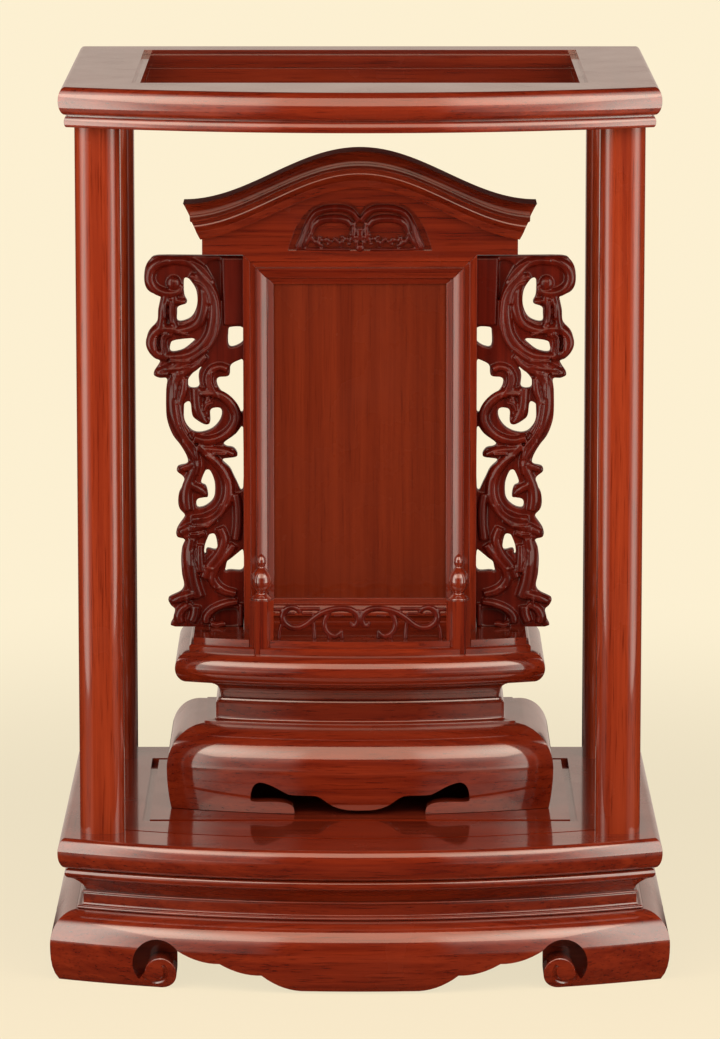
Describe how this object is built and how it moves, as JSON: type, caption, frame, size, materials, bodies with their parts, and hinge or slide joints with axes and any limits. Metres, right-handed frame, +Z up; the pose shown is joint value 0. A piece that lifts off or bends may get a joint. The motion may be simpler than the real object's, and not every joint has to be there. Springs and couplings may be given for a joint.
{
  "type": "ancestor shrine",
  "caption": "Open lacquered rosewood case with a bowed front on scroll feet, holding a loose carved memorial tablet on its own pedestal.",
  "frame": {"origin": "on the ground, under the middle of the bounding box", "axes": "+X to the right seen from the front, +Y to the back, +Z up"},
  "size_m": [0.4296, 0.3576, 0.62],
  "materials": {
    "lacquer": "gloss lacquer over red-brown rosewood",
    "carved_lacquer": "darker satin lacquer in the carving",
    "plain_wood": "bare sawn wood, out of sight"
  },
  "bodies": {
    "case": {"corner_block_front_left": "plain_wood", "corner_block_front_right": "plain_wood", "corner_block_rear_left": "plain_wood", "corner_block_rear_right": "plain_wood", "floor_panel": "lacquer", "floor_rail_front": "lacquer", "floor_rail_left": "lacquer", "floor_rail_rear": "lacquer", "floor_rail_right": "lacquer", "post_front_left": "lacquer", "post_front_right": "lacquer", "post_rear_left": "lacquer", "post_rear_right": "lacquer", "skirt_front": "lacquer", "skirt_left": "lacquer", "skirt_rear": "lacquer", "skirt_right": "lacquer", "top_rail_front": "lacquer", "top_rail_left": "lacquer", "top_rail_rear": "lacquer", "top_rail_right": "lacquer", "waist_front": "lacquer", "waist_left": "lacquer", "waist_rear": "lacquer", "waist_right": "lacquer"},
    "tablet": {"cornice": "lacquer", "pedestal_plinth": "lacquer", "pedestal_skirt_front": "lacquer", "pedestal_skirt_left": "lacquer", "pedestal_skirt_rear": "lacquer", "pedestal_skirt_right": "lacquer", "pedestal_table": "lacquer", "pedestal_waist_front": "lacquer", "pedestal_waist_left": "lacquer", "pedestal_waist_rear": "lacquer", "pedestal_waist_right": "lacquer", "railing_panel_front": "carved_lacquer", "railing_post_left": "lacquer", "railing_post_right": "lacquer", "tablet_backboard": "carved_lacquer", "tablet_bottom_rail": "lacquer", "tablet_face_panel": "lacquer", "tablet_stile_left": "lacquer", "tablet_stile_right": "lacquer", "tablet_top_rail": "lacquer", "tympanum": "lacquer", "tympanum_carving": "carved_lacquer", "wing_left": "carved_lacquer", "wing_right": "carved_lacquer"}
  },
  "joints": [
    {"name": "tablet_slide", "type": "slide", "parent": "case", "child": "tablet", "axis": [0, -1, 0], "range_m": [0, 0.1]}
  ]
}
